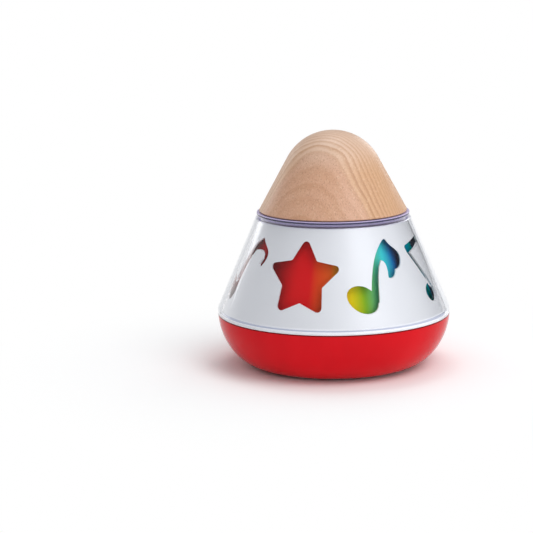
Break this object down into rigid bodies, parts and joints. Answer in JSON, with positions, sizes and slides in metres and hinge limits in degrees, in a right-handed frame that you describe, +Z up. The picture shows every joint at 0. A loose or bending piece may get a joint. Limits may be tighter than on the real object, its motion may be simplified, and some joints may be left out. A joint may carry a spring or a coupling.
{
  "type": "wind-up music box",
  "caption": "Baby's wind-up music box: a wooden dome knob winds it, and a rainbow drum turns behind star and note windows in a silver cone on a red bowl.",
  "frame": {"origin": "on the table under the middle of the bowl", "axes": "+Z up along the winding shaft, -Y to the front with the star window, +X to the right"},
  "size_m": [0.11, 0.11, 0.1111],
  "materials": {
    "red_plastic": "glossy",
    "foot_rubber": "matt",
    "white_plastic": "satin",
    "clear_plastic": "clear and polished",
    "silver_sheet": "satin",
    "violet_plastic": "glossy",
    "rainbow_print": "a smooth print that runs through the rainbow",
    "beech": "smooth and lightly oiled",
    "steel": "bright",
    "spring_steel": "blued",
    "screw_steel": "zinc plated",
    "brass": "bright",
    "cast_metal": "grey, as cast",
    "cream_plastic": "satin"
  },
  "bodies": {
    "base": {"base_bowl": "red_plastic", "foot_ring": "foot_rubber", "base_screws": "screw_steel", "chassis_ring": "white_plastic", "clear_shell": "clear_plastic", "silver_sleeve": "silver_sheet", "top_plate": "violet_plastic", "top_bush": "brass", "bedplate": "cast_metal", "bed_screws": "screw_steel", "arbor_bush": "brass", "click_spring": "spring_steel", "click_screw": "screw_steel", "cylinder_posts": "cast_metal", "post_screws": "screw_steel", "comb": "steel", "comb_screws": "screw_steel", "governor_bracket": "cream_plastic", "bracket_screws": "screw_steel"},
    "winder": {"wooden_knob": "beech", "knob_hub": "white_plastic", "knob_screws": "screw_steel", "winding_shaft": "steel", "hub_pin": "steel", "shaft_clip": "spring_steel", "thrust_washer": "cream_plastic", "spring_arbor": "steel", "ratchet_wheel": "spring_steel", "ratchet_screw": "screw_steel"},
    "drum": {"rainbow_drum": "rainbow_print", "drum_hub": "white_plastic", "drum_screws": "screw_steel", "great_wheel": "brass", "wheel_rivets": "brass", "spring_barrel": "brass", "barrel_cap": "brass", "hub_screws": "screw_steel", "mainspring": "spring_steel"},
    "cylinder": {"tune_cylinder": "brass", "cylinder_arbor": "steel", "cylinder_pinion": "brass", "cylinder_wheel": "brass"},
    "governor": {"governor_arbor": "steel", "governor_pinion": "brass", "worm_wheel": "cream_plastic"},
    "fly": {"fly_shaft": "steel", "governor_worm": "cream_plastic", "fly": "cream_plastic"}
  },
  "joints": [
    {"name": "knob_wind", "type": "hinge", "parent": "base", "child": "winder", "pos_m": [0, 0, 0.0735], "axis": [0, 0, 1], "range_deg": [-1440, 0], "deforming": ["click_spring", "mainspring"]},
    {"name": "drum_spin", "type": "hinge", "parent": "base", "child": "drum", "pos_m": [0, 0, 0.06], "axis": [0, 0, 1], "continuous": true, "deforming": ["mainspring"]},
    {"name": "cylinder_spin", "type": "hinge", "parent": "base", "child": "cylinder", "pos_m": [0.0263, 0, 0.01799], "axis": [1, 0, 0], "continuous": true},
    {"name": "governor_spin", "type": "hinge", "parent": "base", "child": "governor", "pos_m": [0.038, -0.01, 0.01799], "axis": [1, 0, 0], "continuous": true},
    {"name": "fly_spin", "type": "hinge", "parent": "base", "child": "fly", "pos_m": [0.03608, -0.0163, 0.01799], "axis": [0, 0, 1], "continuous": true}
  ],
  "couplings": [
    {"joint": "cylinder_spin", "follows": "drum_spin", "ratio": 2.5},
    {"joint": "governor_spin", "follows": "drum_spin", "ratio": -10},
    {"joint": "fly_spin", "follows": "drum_spin", "ratio": -240}
  ]
}
